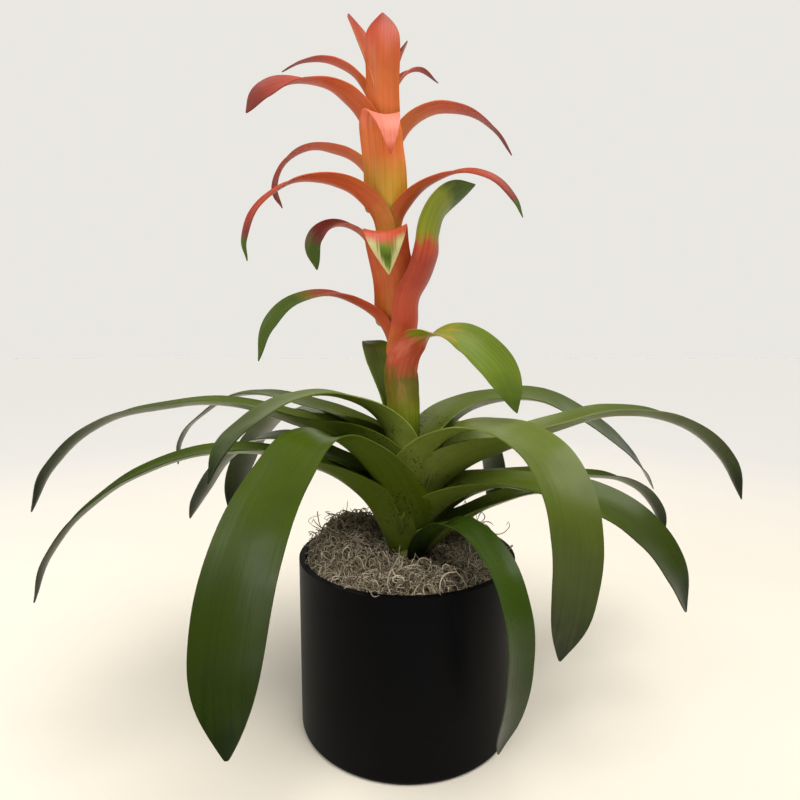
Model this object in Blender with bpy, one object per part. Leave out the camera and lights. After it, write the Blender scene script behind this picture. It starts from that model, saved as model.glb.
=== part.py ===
"""Potted bromeliad: a rosette of arching strap leaves and one tall spike of coloured
bracts, growing from a plastic grow pot that stands inside a straight matt ceramic pot.

The pot stands on z = 0 with its axis on the world Z axis.  Azimuths are counted from +X
towards +Y, so the front of the plant is at azimuth -90.
"""
import math

import bmesh
import bpy
from mathutils import Vector

MM = 0.001
GAP = 0.3                   # clearance kept between touching pieces

# ---------------------------------------------------------------- driving sizes (mm)
POT_RADIUS = 82.5           # outside of the ceramic pot, which takes a 150 mm grow pot
POT_HEIGHT = 131.0
POT_WALL = 5.0
POT_FLOOR = 6.0
POT_FOOT_ROUND = 5.0        # rounding where the wall meets the base
POT_LIP_ROUND = 2.5
GROW_TOP_RADIUS = 74.0
GROW_BOTTOM_RADIUS = 56.0
GROW_WALL = 1.2
FILL_HEIGHT = 112.0         # top of the grow pot and of the potting mix in it
SOCKET_RADIUS = 12.5        # hole in the potting mix around the root stock
SOCKET_FLOOR = 80.0
ROOT_RADIUS = 12.0          # short stem that carries the leaves
# (height, radius) up the flower stalk, from the root stock to its rounded top
STALK_RINGS = (
    (FILL_HEIGHT, ROOT_RADIUS), (122.0, 10.5), (170.0, 8.0), (196.0, 6.0), (240.0, 5.5),
    (290.0, 5.3), (340.0, 5.0), (390.0, 4.6), (430.0, 4.2), (464.0, 3.6), (470.0, 1.8),
)
MOSS_INNER_RADIUS = 17.0
MOSS_EDGE_HEIGHT = 121.0
MOSS_CREST_HEIGHT = 134.0
MOSS_SHOULDER = 8.0         # how far in from the wall the moss bends upward
MOSS_SHOULDER_RISE = 7.0
MOSS_HOLLOW = 14.0          # where the moss starts to dip toward the stem
MOSS_HOLLOW_DROP = 4.0
MOSS_INNER_DROP = 3.0
SPIKE_LEAN = -17.5          # sideways lean of the spike at its top
LEAN_START = 150.0
LEAN_SPAN = 250.0
LEAN_CURVE = 1.4
LEAF_THICKNESS = 1.0
BRACT_THICKNESS = 0.7
TURNS = 48                  # facets around the turned pieces

# ---------------------------------------------------------------- blade shapes
# (place along the blade, share of the full width, depth of the channel as a share of width)
LEAF_ROWS = (
    (0.00, 0.30, 0.40), (0.07, 0.42, 0.36), (0.15, 0.62, 0.30), (0.25, 0.86, 0.22),
    (0.36, 0.98, 0.16), (0.48, 1.00, 0.12), (0.60, 0.97, 0.10), (0.72, 0.87, 0.09),
    (0.83, 0.68, 0.08), (0.92, 0.42, 0.07), (1.00, 0.06, 0.05),
)
BRACT_ROWS = (
    (0.00, 0.34, 0.42), (0.12, 0.50, 0.38), (0.26, 0.76, 0.32), (0.42, 1.00, 0.24),
    (0.56, 1.00, 0.18), (0.70, 0.84, 0.14), (0.84, 0.55, 0.12), (1.00, 0.06, 0.10),
)

# ---------------------------------------------------------------- leaves and bracts
# name: (azimuth, width, guide points from base to tip).  A point is (out, up) in mm: out
# from the plant's leaning axis and up from the pot's lip, with an optional swing away from
# the azimuth and an optional twist of the blade, in degrees.  Lowest pieces come first.
LEAVES = {
    "leaf_front": (-57, 28, ((13, -4), (32, 18), (62, 37), (96, 31), (119, 2), (124, -38),
                             (107, -102))),
    "leaf_back": (95, 34, ((13, 0), (42, 28), (90, 42), (150, 32), (190, -2), (205, -44))),
    "leaf_right_short": (2, 30, ((13, -6), (41, 20), (72, 38), (104, 46), (126, 39), (135, 22))),
    "leaf_left_low": (195, 34, ((13, 0), (41, 48), (86, 77), (130, 84), (172, 77), (215, 54),
                             (245, 22), (258, -10))),
    "leaf_right_far": (22, 30, ((13, 4), (42, 30), (79, 43), (120, 47), (168, 43), (218, 31),
                            (250, 5), (264, -24))),
    "leaf_right_low": (-15, 34, ((12, 10), (31, 35), (64, 54), (98, 57, 0, 10),
                                 (136, 51, 0, 26), (168, 33, 0, 34), (190, 5, 0, 34),
                                 (200, -24, 0, 30))),
    "leaf_left_back": (165, 34, ((13, 12), (32, 48), (62, 70), (108, 84), (150, 64), (178, 32),
                                 (192, 10))),
    "leaf_front_left": (-133, 42, ((13, 19), (30, 57), (57, 91), (84, 100, 1),
                                   (118, 81, 4, -8), (155, 48, 8, -16), (180, 3, 11, -20),
                                   (195, -42, 15, -20))),
    "leaf_right_pale": (5, 34, ((13, 27), (41, 58), (81, 77), (122, 93), (173, 104), (218, 96),
                                (252, 70), (272, 34))),
    "leaf_back_right": (54, 34, ((12, 34), (22, 60), (40, 78), (77, 86), (113, 78, 0, 16),
                                 (138, 52, 0, 20), (143, 25, 0, 20), (136, 2, 0, 16))),
    "leaf_left_long": (183, 34, ((11, 39), (33, 76), (76, 98), (123, 113), (174, 112),
                                 (224, 99), (260, 70), (280, 36))),
    "leaf_front_right": (-32, 38, ((12, 35), (23, 78), (43, 95), (67, 102), (103, 97, -4, 8),
                                   (128, 76, -8, 20), (140, 44, -11, 30), (140, 6, -12, 36),
                                   (130, -40, -10, 36))),
    "leaf_back_left": (140, 34, ((12, 28), (32, 64), (72, 93), (120, 99), (170, 78), (212, 34),
                                 (236, -18))),
    "leaf_left_arch": (160, 33, ((10, 54), (37, 90), (87, 112), (133, 117), (176, 102, 0, -15),
                                 (209, 73, 0, -20), (215, 52, 0, -20))),
    "leaf_right_arch": (30, 36, ((10, 56), (30, 86), (60, 104), (106, 112, 0, 8), (154, 106, 0, 32),
                             (210, 80, 0, 38), (261, 44, 0, 38), (292, 10, 0, 34))),
    "leaf_left_high": (200, 36, ((12, 66), (18, 99), (46, 121), (81, 122, 3), (117, 108, 10),
                                 (141, 94, 17), (153, 79, 20))),
}
BRACTS = {
    "bract_01_green_left": (125, 24, ((9, 90), (16, 116), (25, 142), (32, 158), (42, 162))),
    "bract_02_green_right": (20, 16, ((9, 92), (12, 118), (14, 142))),
    "bract_03_lower_right": (-92, 23, ((10, 85), (12, 117), (16, 142, 9), (25, 160, 32, 20),
                                       (37, 166, 47, 70), (55, 164, 59, 120), (71, 153, 63, 138),
                                       (81, 138, 66, 144), (88, 113, 68, 140))),
    "bract_04_lower_left": (188, 20, ((9, 130), (12, 168), (31, 190), (63, 193, 0, -22),
                                      (90, 175, 0, -42), (102, 148, 0, -42))),
    "bract_05_back_low": (90, 18, ((9, 140), (14, 172), (36, 190), (64, 178), (80, 152))),
    "bract_06_right_green": (-42, 25, ((10, 148), (15, 172), (20, 192, 2), (28, 209, 12),
                                       (34, 227, 18), (37, 244, 23, 8), (44, 258, 29, 16),
                                       (66, 274, 39, 16))),
    "bract_07_front_fold": (-92, 30, ((9, 172), (12, 200), (16, 228), (23, 238), (30, 231),
                                      (32, 208))),
    "bract_08_left_curl": (182, 22, ((8, 184), (13, 218), (28, 244, 0, -10), (50, 238, 0, -42),
                                     (54, 214, 0, -52))),
    "bract_09_back_middle": (92, 14, ((8, 196), (13, 232), (34, 254), (62, 246), (78, 220))),
    "bract_10_right_long": (-18, 20, ((8, 224), (14, 256), (46, 276, 0, 10), (74, 275, 0, 34),
                                      (93, 258, 0, 46), (98, 246, 0, 46))),
    "bract_11_left_long": (203, 21, ((8, 222), (17, 255), (50, 272), (86, 257, 0, -16),
                                     (103, 230, 0, -30), (103, 216, 0, -30))),
    "bract_12_right_sliver": (30, 12, ((8, 244), (12, 268), (14, 290))),
    "bract_13_left_arch": (166, 18, ((8, 250), (16, 282), (38, 299), (68, 299, 0, -22),
                                     (84, 278, 0, -44), (80, 262, 0, -44))),
    "bract_14_front_tall": (-92, 32, ((11, 253), (14, 282), (16, 304, 0, 6), (21, 315, 0, 14),
                                      (29, 309, 8, 14), (32, 287, 13, 10))),
    "bract_15_back_high": (84, 12, ((8, 262), (15, 290), (32, 310), (58, 306), (72, 284))),
    "bract_16_right_arch": (5, 21, ((7, 270), (13, 300), (30, 321), (54, 325, 0, 10),
                                    (78, 315, 0, 24), (94, 297, 0, 28))),
    "bract_17_left_sweep": (195, 24, ((7, 276), (13, 308), (28, 330), (56, 338, 0, -20),
                                      (82, 330, 0, -46), (95, 316, 0, -50))),
    "bract_18_right_small": (24, 14, ((6, 312), (10, 340), (26, 356, 0, 14), (44, 351, 0, 34))),
    "bract_19_left_small": (170, 15, ((6, 314), (16, 342), (34, 358), (58, 362, 0, -22),
                                      (75, 357, 0, -40))),
    "bract_20_top_left": (148, 15, ((8, 334), (12, 355), (21, 378), (30, 398))),
    "bract_21_top_right": (25, 13, ((6, 336), (12, 358), (19, 376))),
    "bract_22_top_back": (90, 14, ((6, 342), (8, 362), (8, 382))),
    "bract_23_top_front": (-90, 25, ((9, 304), (12, 340), (11, 370), (4, 389))),
}

COLOURS = {
    "ceramic_pot": ((0.012, 0.012, 0.013), 0.42),
    "grow_pot": ((0.02, 0.02, 0.02), 0.55),
    "potting_mix": ((0.035, 0.022, 0.014), 0.95),
    "moss": ((0.30, 0.23, 0.16), 0.95),
    "flower_stalk": ((0.22, 0.26, 0.06), 0.5),
    "leaf": ((0.06, 0.14, 0.02), 0.35),
    "bract": ((0.65, 0.12, 0.04), 0.4),
}


def material(name, colour, roughness):
    """A plain Principled material."""
    result = bpy.data.materials.new(name)
    result.use_nodes = True
    shader = result.node_tree.nodes["Principled BSDF"]
    shader.inputs["Base Color"].default_value = (*colour, 1.0)
    shader.inputs["Roughness"].default_value = roughness
    shader.inputs["Metallic"].default_value = 0.0
    return result


def add_object(name, mesh, kind):
    """Links a mesh as the node `name` with its own material of the given kind."""
    piece = bpy.data.objects.new(name, mesh)
    bpy.context.collection.objects.link(piece)
    mesh.materials.append(material(f"{name}_finish", *COLOURS[kind]))
    return piece


def arc(centre, radius, start, end, steps=4):
    """Points on a round corner, angles in degrees."""
    points = []
    for step in range(steps + 1):
        angle = math.radians(start + (end - start) * step / steps)
        points.append((centre[0] + radius * math.cos(angle), centre[1] + radius * math.sin(angle)))
    return points


def turned(name, outline, kind):
    """Spins an outline of (radius, height) points in mm once round the Z axis."""
    shape = bmesh.new()
    points = [shape.verts.new((radius * MM, 0.0, height * MM)) for radius, height in outline]
    edges = [shape.edges.new(pair) for pair in zip(points, points[1:])]
    if outline[0][0] > 0.0:
        edges.append(shape.edges.new((points[-1], points[0])))
    bmesh.ops.spin(shape, geom=points + edges, axis=(0, 0, 1), cent=(0, 0, 0),
                   angle=2 * math.pi, steps=TURNS, use_merge=True)
    bmesh.ops.remove_doubles(shape, verts=shape.verts, dist=0.01 * MM)
    bmesh.ops.recalc_face_normals(shape, faces=shape.faces)
    mesh = bpy.data.meshes.new(name)
    shape.to_mesh(mesh)
    shape.free()
    mesh.shade_smooth()
    mesh.set_sharp_from_angle(angle=math.radians(35))
    return add_object(name, mesh, kind)


def build_pot():
    """The straight ceramic pot: flat base, round foot, plain wall and a round lip."""
    inner = POT_RADIUS - POT_WALL
    outline = [(0.0, 0.0)]
    outline += arc((POT_RADIUS - POT_FOOT_ROUND, POT_FOOT_ROUND), POT_FOOT_ROUND, -90, 0)
    outline += arc((POT_RADIUS - POT_LIP_ROUND, POT_HEIGHT - POT_LIP_ROUND), POT_LIP_ROUND, 0, 90)
    outline += arc((inner + POT_LIP_ROUND, POT_HEIGHT - POT_LIP_ROUND), POT_LIP_ROUND, 90, 180)[1:]
    outline += [(inner, POT_FLOOR + POT_WALL), (inner - POT_WALL, POT_FLOOR), (0.0, POT_FLOOR)]
    turned("ceramic_pot", outline, "ceramic_pot")


def build_grow_pot():
    """The thin tapered plastic pot that the plant was grown in."""
    bottom = POT_FLOOR + GAP
    outline = [(0.0, bottom), (GROW_BOTTOM_RADIUS, bottom), (GROW_TOP_RADIUS, FILL_HEIGHT),
               (GROW_TOP_RADIUS - GROW_WALL, FILL_HEIGHT),
               (GROW_BOTTOM_RADIUS - GROW_WALL, bottom + GROW_WALL), (0.0, bottom + GROW_WALL)]
    turned("grow_pot", outline, "grow_pot")


def build_potting_mix():
    """The potting mix, with the hole that the root stock stands in."""
    bottom = POT_FLOOR + GROW_WALL + 2 * GAP
    side = GROW_WALL + 2 * GAP
    outline = [(0.0, bottom), (GROW_BOTTOM_RADIUS - side, bottom),
               (GROW_TOP_RADIUS - side, FILL_HEIGHT), (SOCKET_RADIUS, FILL_HEIGHT),
               (SOCKET_RADIUS, SOCKET_FLOOR), (0.0, SOCKET_FLOOR)]
    turned("potting_mix", outline, "potting_mix")


def build_moss():
    """A ring of dry moss that covers the potting mix and both rims below the lip."""
    edge = POT_RADIUS - POT_WALL - 2 * GAP
    bottom = FILL_HEIGHT + GAP
    middle = (MOSS_INNER_RADIUS + edge) / 2
    outline = [(MOSS_INNER_RADIUS, bottom), (edge, bottom), (edge, MOSS_EDGE_HEIGHT),
               (edge - MOSS_SHOULDER, MOSS_EDGE_HEIGHT + MOSS_SHOULDER_RISE),
               (middle, MOSS_CREST_HEIGHT),
               (MOSS_INNER_RADIUS + MOSS_HOLLOW, MOSS_CREST_HEIGHT - MOSS_HOLLOW_DROP),
               (MOSS_INNER_RADIUS, MOSS_EDGE_HEIGHT - MOSS_INNER_DROP)]
    turned("moss", outline, "moss")


def lean(height):
    """Sideways place of the spike's axis at a height, in mm."""
    share = min(max((height - LEAN_START) / LEAN_SPAN, 0.0), 1.0)
    return SPIKE_LEAN * share ** LEAN_CURVE


def build_stalk():
    """The root stock and flower stalk as one piece, lofted through rings."""
    rings = [(SOCKET_FLOOR + GAP, ROOT_RADIUS), *STALK_RINGS]
    shape = bmesh.new()
    loops = []
    for height, radius in rings:
        made = bmesh.ops.create_circle(shape, segments=16, radius=radius * MM)["verts"]
        bmesh.ops.translate(shape, verts=made, vec=(lean(height) * MM, 0.0, height * MM))
        loops.append([edge for edge in shape.edges if edge.verts[0] in made])
    for lower, upper in zip(loops, loops[1:]):
        bmesh.ops.bridge_loops(shape, edges=lower + upper)
    bmesh.ops.contextual_create(shape, geom=loops[0])
    bmesh.ops.contextual_create(shape, geom=loops[-1])
    bmesh.ops.recalc_face_normals(shape, faces=shape.faces)
    mesh = bpy.data.meshes.new("flower_stalk")
    shape.to_mesh(mesh)
    shape.free()
    mesh.shade_smooth()
    add_object("flower_stalk", mesh, "flower_stalk")


def blade_mesh(name, rows, width, columns=4):
    """A flat strap along +X, one unit long, with its rows narrowed and channelled."""
    shape = bmesh.new()
    previous = None
    for place, share, depth in rows:
        half = width * MM * share / 2
        row = []
        for column in range(columns + 1):
            across = 2 * column / columns - 1
            row.append(shape.verts.new((place, across * half, depth * 2 * half * across ** 2)))
        if previous:
            for left, right in zip(range(columns), range(1, columns + 1)):
                shape.faces.new((previous[left], row[left], row[right], previous[right]))
        previous = row
    bmesh.ops.recalc_face_normals(shape, faces=shape.faces)
    mesh = bpy.data.meshes.new(name)
    shape.to_mesh(mesh)
    shape.free()
    mesh.shade_smooth()
    return mesh


def guide_curve(name, azimuth, points):
    """The smooth line that a blade is bent along, from its base to its tip."""
    data = bpy.data.curves.new(f"{name}_guide", "CURVE")
    data.dimensions = "3D"
    data.resolution_u = 12
    data.twist_mode = "MINIMUM"
    data.use_stretch = True
    data.use_deform_bounds = True
    spline = data.splines.new("BEZIER")
    spline.bezier_points.add(len(points) - 1)
    root_shift = lean(POT_HEIGHT + points[0][1])
    for index, (knot, point) in enumerate(zip(spline.bezier_points, points)):
        out, up, swing, twist = (*point, 0.0, 0.0)[:4]
        angle = math.radians(azimuth + swing)
        height = POT_HEIGHT + up
        shift = lean(height) if index > 1 else root_shift
        place = Vector((shift + out * math.cos(angle), out * math.sin(angle), height))
        knot.co = place * MM
        knot.tilt = math.radians(twist)
        knot.handle_left_type = "AUTO"
        knot.handle_right_type = "AUTO"
    guide = bpy.data.objects.new(f"{name}_guide", data)
    bpy.context.collection.objects.link(guide)
    guide.hide_render = True
    guide.display_type = "WIRE"
    return guide


def build_blade(name, kind, rows, thickness, azimuth, width, points):
    """One leaf or bract: a strap bent along its guide and given its thickness."""
    piece = add_object(name, blade_mesh(name, rows, width), kind)
    bend = piece.modifiers.new("bend", "CURVE")
    bend.object = guide_curve(name, azimuth, points)
    bend.deform_axis = "POS_X"
    wall = piece.modifiers.new("wall", "SOLIDIFY")
    wall.thickness = thickness * MM
    wall.offset = 0.0


def main():
    for old in list(bpy.data.objects):
        bpy.data.objects.remove(old)
    build_pot()
    build_grow_pot()
    build_potting_mix()
    build_moss()
    build_stalk()
    for name, leaf in LEAVES.items():
        build_blade(name, "leaf", LEAF_ROWS, LEAF_THICKNESS, *leaf)
    for name, bract in BRACTS.items():
        build_blade(name, "bract", BRACT_ROWS, BRACT_THICKNESS, *bract)


main()
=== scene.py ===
"""Potted bromeliad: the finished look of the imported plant, laid out as a Blender add-on.

Every leaf and bract is a flat strap that is cut to its outline, channelled, bent along its own
guide line and given its thickness.  The guide points are those of the structural model.
"""

import math
import random

import bmesh
import bpy
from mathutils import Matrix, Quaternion, Vector, noise


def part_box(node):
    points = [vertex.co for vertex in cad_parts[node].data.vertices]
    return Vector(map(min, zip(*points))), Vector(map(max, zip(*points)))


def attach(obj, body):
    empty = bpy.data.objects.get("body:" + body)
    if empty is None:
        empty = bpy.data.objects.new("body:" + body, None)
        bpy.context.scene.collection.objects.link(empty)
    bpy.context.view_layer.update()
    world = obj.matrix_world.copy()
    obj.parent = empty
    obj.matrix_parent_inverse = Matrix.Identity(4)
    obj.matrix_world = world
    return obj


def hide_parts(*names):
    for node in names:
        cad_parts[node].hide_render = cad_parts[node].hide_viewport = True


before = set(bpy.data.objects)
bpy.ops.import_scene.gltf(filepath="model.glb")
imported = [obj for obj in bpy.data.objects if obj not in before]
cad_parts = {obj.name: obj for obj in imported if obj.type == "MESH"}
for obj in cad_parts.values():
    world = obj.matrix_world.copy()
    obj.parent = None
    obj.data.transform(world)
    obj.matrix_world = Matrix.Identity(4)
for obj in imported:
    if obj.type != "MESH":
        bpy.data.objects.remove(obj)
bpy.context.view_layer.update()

bl_info = {
    "name": "Potted bromeliad",
    "version": (1, 0, 0),
    "blender": (4, 5, 0),
    "location": "3D View > Sidebar > Bromeliad",
    "description": "Builds a potted bromeliad with its pot, moss, leaves and flower spike",
    "category": "Add Mesh",
}

BODY = "root"
MM = 0.001
POT_LOW, POT_HIGH = (Vector(corner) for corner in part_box("ceramic_pot"))
POT_RADIUS = (POT_HIGH.x - POT_LOW.x) / 2
LIP = POT_HIGH.z
MOSS_LOW, MOSS_HIGH = (Vector(corner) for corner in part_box("moss"))
MOSS_RADIUS = (MOSS_HIGH.x - MOSS_LOW.x) / 2
STALK_LOW, STALK_HIGH = (Vector(corner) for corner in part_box("flower_stalk"))

# The spike's axis leans sideways as it rises.
SPIKE_LEAN = -17.5
LEAN_START = 150.0
LEAN_SPAN = 250.0
LEAN_CURVE = 1.4

# Outlines of the straps in even steps from base to tip: share of the width, and depth of the
# channel as a share of the width there.  Outlines that bend alike share their depths.
ARCH_DEPTHS = (0.80, 0.72, 0.54, 0.38, 0.26, 0.20, 0.17, 0.15, 0.14, 0.13, 0.12, 0.11, 0.07)
FOLD_DEPTHS = (0.52, 0.48, 0.42, 0.36, 0.30, 0.27, 0.24, 0.18, 0.14, 0.12, 0.10, 0.08, 0.05)
OUTLINES = {
    "leaf": ((1.05, 1.32, 1.20, 1.06, 1.00, 1.00, 1.00, 1.00, 1.00, 0.98, 0.93, 0.78, 0.06),
             (0.50, 0.44, 0.32, 0.20, 0.13, 0.10, 0.09, 0.08, 0.08, 0.08, 0.08, 0.08, 0.05)),
    "arch": ((0.58, 0.70, 0.88, 1.05, 1.13, 1.11, 1.06, 1.03, 0.99, 0.91, 0.77, 0.52, 0.03),
             ARCH_DEPTHS),
    "tail": ((0.58, 0.72, 0.90, 1.05, 1.10, 1.02, 0.86, 0.70, 0.58, 0.49, 0.42, 0.30, 0.02),
             ARCH_DEPTHS),
    "tongue": ((1.00, 1.04, 1.05, 1.04, 1.02, 1.00, 1.00, 1.02, 1.04, 1.05, 1.00, 0.70, 0.04),
               (0.52, 0.48, 0.42, 0.36, 0.32, 0.29, 0.26, 0.24, 0.22, 0.18, 0.15, 0.12, 0.06)),
    "folded": ((1.00, 1.04, 1.05, 1.04, 1.02, 1.00, 1.00, 1.02, 1.02, 0.94, 0.68, 0.36, 0.02),
               FOLD_DEPTHS),
    "flap": ((1.00, 1.04, 1.05, 1.04, 1.02, 1.00, 1.00, 1.02, 0.88, 0.70, 0.50, 0.27, 0.02),
             FOLD_DEPTHS),
}

# name: (azimuth, width, look, guide points).  A point is (out, up) in mm: out from the plant's
# leaning axis and up from the pot's lip, with an optional swing away from the azimuth and an
# optional twist of the blade, in degrees.
# A leaf's look: share of the width at the sheath, in the middle and at the tip end, channel and
# yellowness.  A bract's look: outline, share of the width, share at the tip end, channel, finish.
PLAIN_LEAF = (1.00, 1.00, 0.95, 1.1, 0.1)
PLAIN_BRACT = ("arch", 1.0, 0.9, 1.0, "orange")
# Yellowness is partly a leaf's own yellow-green and partly painted light: its high value on
# leaf_left_high stands for light shining through that leaf, and the value below 0 darkens
# leaf_front as painted shade.
LEAVES = {
    "leaf_front": (-57, 28, (0.55, 0.80, 0.95, 0.9, -0.3), ((13, -4), (32, 18), (62, 37), (96, 31),
        (119, 2), (124, -38), (107, -102))),
    "leaf_back": (95, 34, PLAIN_LEAF, ((13, 0), (42, 28), (90, 42), (150, 32), (190, -2),
        (205, -44))),
    "leaf_right_short": (2, 30, (0.75, 0.95, 0.80, 2.0, 0.6), ((13, -6), (41, 20), (72, 38),
        (104, 46), (126, 39), (135, 22))),
    "leaf_left_low": (195, 34, (0.85, 0.95, 0.80, 1.6, 0.1), ((13, 0), (41, 48), (86, 77),
        (130, 84), (172, 77), (215, 54), (245, 22), (258, -10))),
    "leaf_right_far": (22, 30, (0.75, 0.90, 0.80, 2.4, 0.3), ((13, 4), (42, 30), (79, 43),
        (120, 47), (168, 43), (218, 31), (250, 5), (264, -24))),
    "leaf_right_low": (-15, 34, (0.85, 1.00, 0.95, 1.4, 0.4), ((12, 10), (31, 35), (64, 54),
        (98, 57, 0, 10), (136, 51, 0, 26), (168, 33, 0, 34), (190, 5, 0, 34), (200, -24, 0, 30))),
    "leaf_left_back": (165, 34, PLAIN_LEAF, ((13, 12), (32, 48), (62, 70), (108, 84), (150, 64),
        (178, 32), (192, 10))),
    "leaf_front_left": (-133, 42, (1.00, 1.00, 1.10, 0.8, 0.0), ((13, 19), (30, 57), (57, 91),
        (84, 100, 1), (118, 81, 4, -8), (155, 48, 8, -16), (180, 3, 11, -20), (195, -42, 15, -20))),
    "leaf_right_pale": (5, 34, (0.65, 1.00, 0.85, 2.6, 0.8), ((13, 27), (41, 58), (81, 77),
        (122, 93), (173, 104), (218, 96), (252, 70), (272, 34))),
    "leaf_back_right": (54, 34, PLAIN_LEAF, ((12, 34), (22, 60), (40, 78), (77, 86),
        (113, 78, 0, 16), (138, 52, 0, 20), (143, 25, 0, 20), (136, 2, 0, 16))),
    "leaf_left_long": (183, 34, (0.80, 0.95, 0.75, 1.8, 0.3), ((11, 39), (33, 76), (76, 98),
        (123, 113), (174, 112), (224, 99), (260, 70), (280, 36))),
    "leaf_front_right": (-32, 38, (1.15, 1.00, 0.72, 0.8, 0.9), ((12, 35), (23, 78), (43, 95),
        (67, 102), (103, 97, -4, 8), (128, 76, -8, 20), (140, 44, -11, 30), (140, 6, -12, 36),
        (130, -40, -10, 36))),
    "leaf_back_left": (140, 34, PLAIN_LEAF, ((12, 28), (32, 64), (72, 93), (120, 99), (170, 78),
        (212, 34), (236, -18))),
    "leaf_left_arch": (160, 33, (1.00, 0.90, 0.55, 1.0, 0.3), ((10, 54), (37, 90), (87, 112),
        (133, 117), (176, 102, 0, -15), (209, 73, 0, -20), (215, 52, 0, -20))),
    "leaf_right_arch": (30, 36, (0.75, 1.05, 0.95, 1.0, 0.3), ((10, 56), (30, 86), (60, 104),
        (106, 112, 0, 8), (154, 106, 0, 32), (210, 80, 0, 38), (261, 44, 0, 38), (292, 10, 0, 34))),
    "leaf_left_high": (200, 36, (1.00, 1.00, 0.30, 0.9, 0.9), ((12, 66), (18, 99), (46, 121),
        (81, 122, 3), (117, 108, 10), (141, 94, 17), (153, 79, 20))),
}
BRACTS = {
    "bract_01_green_left": (125, 24, ("tongue", 1.15, 1.0, 0.9, "green"), ((9, 90), (16, 116),
        (25, 142), (32, 158), (42, 162))),
    "bract_02_green_right": (20, 16, ("arch", 1.0, 1.0, 1.0, "green"), ((9, 92), (12, 118),
        (14, 142))),
    "bract_03_lower_right": (-92, 23, ("tongue", 1.0, 1.1, 0.6, "green_over_red"), ((10, 85),
        (12, 117), (16, 142, 9), (25, 160, 32, 20), (37, 166, 47, 70), (55, 164, 59, 120),
        (71, 153, 63, 138), (81, 138, 66, 144), (88, 113, 68, 140))),
    "bract_04_lower_left": (188, 20, ("arch", 1.0, 1.0, 1.0, "red_green_end"), ((9, 130), (12, 168),
        (31, 190), (63, 193, 0, -22), (90, 175, 0, -42), (102, 148, 0, -42))),
    "bract_05_back_low": (90, 18, ("arch", 1.0, 0.9, 1.0, "red_green_end"), ((9, 140), (14, 172),
        (36, 190), (64, 178), (80, 152))),
    "bract_06_right_green": (-42, 25, ("tongue", 1.08, 1.15, 0.8, "red_over_green"), ((10, 148),
        (15, 172), (20, 192, 2), (28, 209, 12), (34, 227, 18), (37, 244, 23, 8), (44, 258, 29, 16),
        (66, 274, 39, 16))),
    "bract_07_front_fold": (-92, 30, ("folded", 1.0, 1.0, 0.9, "green_tip"), ((9, 172), (12, 200),
        (16, 228), (23, 238), (30, 231), (32, 208))),
    "bract_08_left_curl": (182, 22, ("arch", 0.95, 1.3, 1.0, "curl"), ((8, 184), (13, 218),
        (28, 244, 0, -10), (50, 238, 0, -42), (54, 214, 0, -52))),
    "bract_09_back_middle": (92, 14, ("arch", 1.0, 0.9, 1.0, "green_tip"), ((8, 196), (13, 232),
        (34, 254), (62, 246), (78, 220))),
    "bract_10_right_long": (-18, 20, ("tail", 0.95, 0.70, 1.0, "thin_end"), ((8, 224), (14, 256),
        (46, 276, 0, 10), (74, 275, 0, 34), (93, 258, 0, 46), (98, 246, 0, 46))),
    "bract_11_left_long": (203, 21, ("tail", 1.10, 0.75, 1.0, "thin_end"), ((8, 222), (17, 255),
        (50, 272), (86, 257, 0, -16), (103, 230, 0, -30), (103, 216, 0, -30))),
    "bract_12_right_sliver": (30, 12, ("arch", 1.0, 1.0, 1.0, "orange"), ((8, 244), (12, 268),
        (14, 290))),
    "bract_13_left_arch": (166, 18, ("arch", 1.25, 0.80, 1.0, "orange"), ((8, 250), (16, 282),
        (38, 299), (68, 299, 0, -22), (84, 278, 0, -44), (80, 262, 0, -44))),
    "bract_14_front_tall": (-92, 32, ("flap", 0.92, 1.0, 0.7, "salmon_fold"), ((11, 253), (14, 282),
        (16, 304, 0, 6), (21, 315, 0, 14), (29, 309, 8, 14), (32, 287, 13, 10))),
    "bract_15_back_high": (84, 12, PLAIN_BRACT, ((8, 262), (15, 290), (32, 310), (58, 306),
        (72, 284))),
    "bract_16_right_arch": (5, 21, ("arch", 1.25, 1.15, 1.0, "orange"), ((7, 270), (13, 300),
        (30, 321), (54, 325, 0, 10), (78, 315, 0, 24), (94, 297, 0, 28))),
    "bract_17_left_sweep": (195, 24, ("arch", 1.12, 1.10, 1.0, "orange"), ((7, 276), (13, 308),
        (28, 330), (56, 338, 0, -20), (82, 330, 0, -46), (95, 316, 0, -50))),
    "bract_18_right_small": (24, 14, ("arch", 1.1, 1.0, 1.0, "orange"), ((6, 312), (10, 340),
        (26, 356, 0, 14), (44, 351, 0, 34))),
    "bract_19_left_small": (170, 15, ("arch", 1.15, 0.9, 1.0, "orange"), ((6, 314), (16, 342),
        (34, 358), (58, 362, 0, -22), (75, 357, 0, -40))),
    "bract_20_top_left": (148, 15, ("tongue", 1.6, 0.7, 0.8, "crown"), ((8, 334), (12, 355),
        (21, 378), (30, 398))),
    "bract_21_top_right": (25, 13, ("tongue", 1.2, 0.8, 0.8, "orange"), ((6, 336), (12, 358),
        (19, 376))),
    "bract_22_top_back": (90, 14, PLAIN_BRACT, ((6, 342), (8, 362), (8, 382))),
    "bract_23_top_front": (-90, 25, ("tongue", 0.92, 1.05, 0.9, "crown"), ((9, 304), (12, 340),
        (11, 370), (4, 389))),
}


# ------------------------------------------------------------------ settings
def length_value(label, description, millimetres):
    """A size setting, given in millimetres and kept in metres."""
    return bpy.props.FloatProperty(name=label, description=description,
                                   default=millimetres * MM, min=0.0, unit="LENGTH")


def share_value(label, description, default):
    """A setting from 0 to 1."""
    return bpy.props.FloatProperty(name=label, description=description, default=default,
                                   min=0.0, max=1.0)


def count_value(label, description, default):
    """A whole number of pieces."""
    return bpy.props.IntProperty(name=label, description=description, default=default, min=0)


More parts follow.
